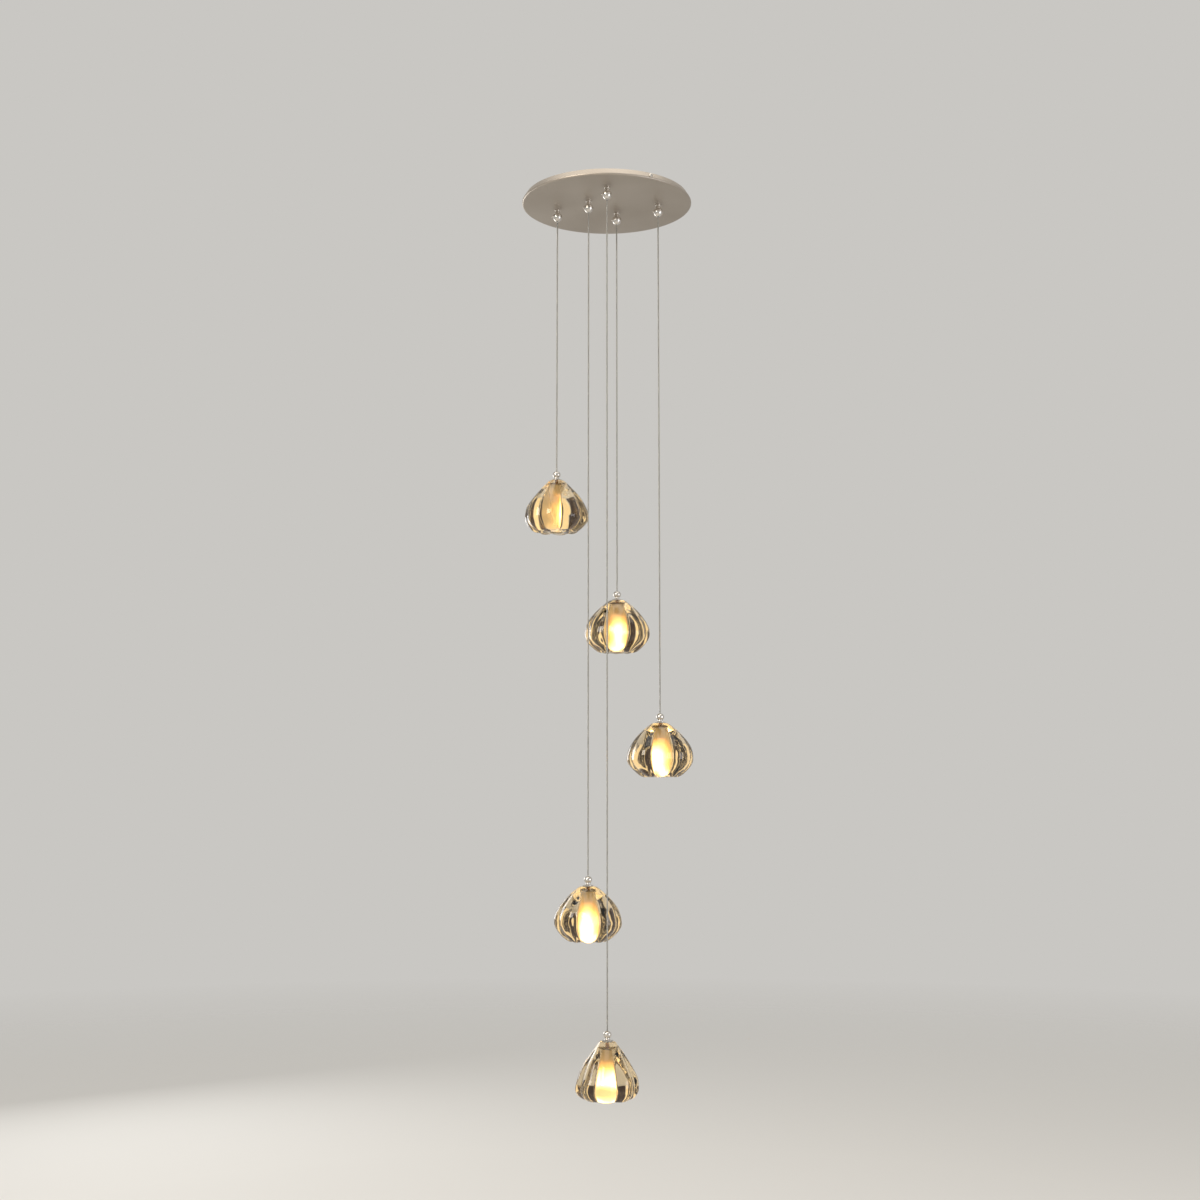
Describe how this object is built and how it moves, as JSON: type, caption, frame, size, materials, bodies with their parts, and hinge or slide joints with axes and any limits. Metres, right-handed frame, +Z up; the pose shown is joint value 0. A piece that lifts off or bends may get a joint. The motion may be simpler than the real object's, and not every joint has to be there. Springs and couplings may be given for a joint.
{
  "type": "cluster pendant",
  "caption": "Ceiling light: a flat round canopy with lobed crystal shades hung on thin clear cords at staggered heights, each with a capsule lamp inside.",
  "frame": {"origin": "centre of the canopy on the ceiling plane, midway between the crossbar's two ceiling screw holes", "axes": "+Z up out of the canopy into the ceiling, the lamp hangs towards -Z; -Y faces the viewer of the picture, +X to that viewer's right"},
  "size_m": [0.3, 0.3, 1.542],
  "materials": {
    "canopy_metal": "satin, warm grey",
    "zinc_steel": "zinc plated",
    "chrome": "polished",
    "driver_case": "moulded",
    "terminal_plastic": "moulded",
    "lead_silicone": "clear sheath",
    "clear_silicone": "translucent",
    "clear_cord": "clear sheath over fine tinned wires",
    "brass": "turned",
    "holder_ceramic": "bisque",
    "lamp_glass": "lit, warm white",
    "crystal": "clear polished crystal, faint amber"
  },
  "bodies": {
    "root": {"canopy": "canopy_metal", "crossbar": "zinc_steel", "canopy_side_screws": "chrome", "driver": "driver_case", "terminal_block": "terminal_plastic", "lead_hub": "terminal_plastic", "inner_leads": "lead_silicone", "grip_lock_nuts": "zinc_steel", "grip_set_screws": "chrome", "grip_stem_1": "chrome", "grip_nut_1": "chrome", "grip_stem_2": "chrome", "grip_nut_2": "chrome", "grip_stem_3": "chrome", "grip_nut_3": "chrome", "grip_stem_4": "chrome", "grip_nut_4": "chrome", "grip_stem_5": "chrome", "grip_nut_5": "chrome"},
    "sleeve_1": {"cord_sleeve_1": "clear_silicone"},
    "cord_1": {"cord_1": "clear_cord"},
    "pendant_1": {"cap_1": "chrome", "seat_washers_1": "clear_silicone", "nipple_1": "brass", "lamp_holder_1": "holder_ceramic", "lamp_1": "lamp_glass", "shade_1": "crystal"},
    "sleeve_2": {"cord_sleeve_2": "clear_silicone"},
    "cord_2": {"cord_2": "clear_cord"},
    "pendant_2": {"cap_2": "chrome", "seat_washers_2": "clear_silicone", "nipple_2": "brass", "lamp_holder_2": "holder_ceramic", "lamp_2": "lamp_glass", "shade_2": "crystal"},
    "sleeve_3": {"cord_sleeve_3": "clear_silicone"},
    "cord_3": {"cord_3": "clear_cord"},
    "pendant_3": {"cap_3": "chrome", "seat_washers_3": "clear_silicone", "nipple_3": "brass", "lamp_holder_3": "holder_ceramic", "lamp_3": "lamp_glass", "shade_3": "crystal"},
    "sleeve_4": {"cord_sleeve_4": "clear_silicone"},
    "cord_4": {"cord_4": "clear_cord"},
    "pendant_4": {"cap_4": "chrome", "seat_washers_4": "clear_silicone", "nipple_4": "brass", "lamp_holder_4": "holder_ceramic", "lamp_4": "lamp_glass", "shade_4": "crystal"},
    "sleeve_5": {"cord_sleeve_5": "clear_silicone"},
    "cord_5": {"cord_5": "clear_cord"},
    "pendant_5": {"cap_5": "chrome", "seat_washers_5": "clear_silicone", "nipple_5": "brass", "lamp_holder_5": "holder_ceramic", "lamp_5": "lamp_glass", "shade_5": "crystal"}
  },
  "joints": [
    {"name": "swing_out_1", "type": "hinge", "parent": "root", "child": "sleeve_1", "pos_m": [-0.088, 0.022, -0.03242], "axis": [0.2425, 0.9701, 0], "range_deg": [-1, 20]},
    {"name": "swing_side_1", "type": "hinge", "parent": "sleeve_1", "child": "cord_1", "pos_m": [-0.088, 0.022, -0.03242], "axis": [-0.9701, 0.2425, 0], "range_deg": [-20, 20]},
    {"name": "turn_1", "type": "hinge", "parent": "cord_1", "child": "pendant_1", "pos_m": [-0.088, 0.022, -0.4885], "axis": [0, 0, 1], "range_deg": [-180, 180]},
    {"name": "swing_out_2", "type": "hinge", "parent": "root", "child": "sleeve_2", "pos_m": [0.018, 0.038, -0.03242], "axis": [0.9037, -0.4281, 0], "range_deg": [-1, 20]},
    {"name": "swing_side_2", "type": "hinge", "parent": "sleeve_2", "child": "cord_2", "pos_m": [0.018, 0.038, -0.03242], "axis": [0.4281, 0.9037, 0], "range_deg": [-1.5, 6]},
    {"name": "turn_2", "type": "hinge", "parent": "cord_2", "child": "pendant_2", "pos_m": [0.018, 0.038, -0.6985], "axis": [0, 0, 1], "range_deg": [-180, 180]},
    {"name": "swing_out_3", "type": "hinge", "parent": "root", "child": "sleeve_3", "pos_m": [0.091, -0.004, -0.03242], "axis": [-0.0439, -0.999, 0], "range_deg": [-1.5, 20]},
    {"name": "swing_side_3", "type": "hinge", "parent": "sleeve_3", "child": "cord_3", "pos_m": [0.091, -0.004, -0.03242], "axis": [0.999, -0.0439, 0], "range_deg": [-20, 20]},
    {"name": "turn_3", "type": "hinge", "parent": "cord_3", "child": "pendant_3", "pos_m": [0.091, -0.004, -0.9145], "axis": [0, 0, 1], "range_deg": [-180, 180]},
    {"name": "swing_out_4", "type": "hinge", "parent": "root", "child": "sleeve_4", "pos_m": [-0.032, -0.024, -0.03242], "axis": [-0.6, 0.8, 0], "range_deg": [-1, 20]},
    {"name": "swing_side_4", "type": "hinge", "parent": "sleeve_4", "child": "cord_4", "pos_m": [-0.032, -0.024, -0.03242], "axis": [-0.8, -0.6, 0], "range_deg": [-1, 0.4]},
    {"name": "turn_4", "type": "hinge", "parent": "cord_4", "child": "pendant_4", "pos_m": [-0.032, -0.024, -1.1885], "axis": [0, 0, 1], "range_deg": [-180, 180]},
    {"name": "swing_out_5", "type": "hinge", "parent": "root", "child": "sleeve_5", "pos_m": [0, -0.09, -0.03242], "axis": [-1, 0, 0], "range_deg": [-0.4, 20]},
    {"name": "swing_side_5", "type": "hinge", "parent": "sleeve_5", "child": "cord_5", "pos_m": [0, -0.09, -0.03242], "axis": [0, -1, 0], "range_deg": [-20, 20]},
    {"name": "turn_5", "type": "hinge", "parent": "cord_5", "child": "pendant_5", "pos_m": [0, -0.09, -1.4335], "axis": [0, 0, 1], "range_deg": [-180, 180]}
  ]
}
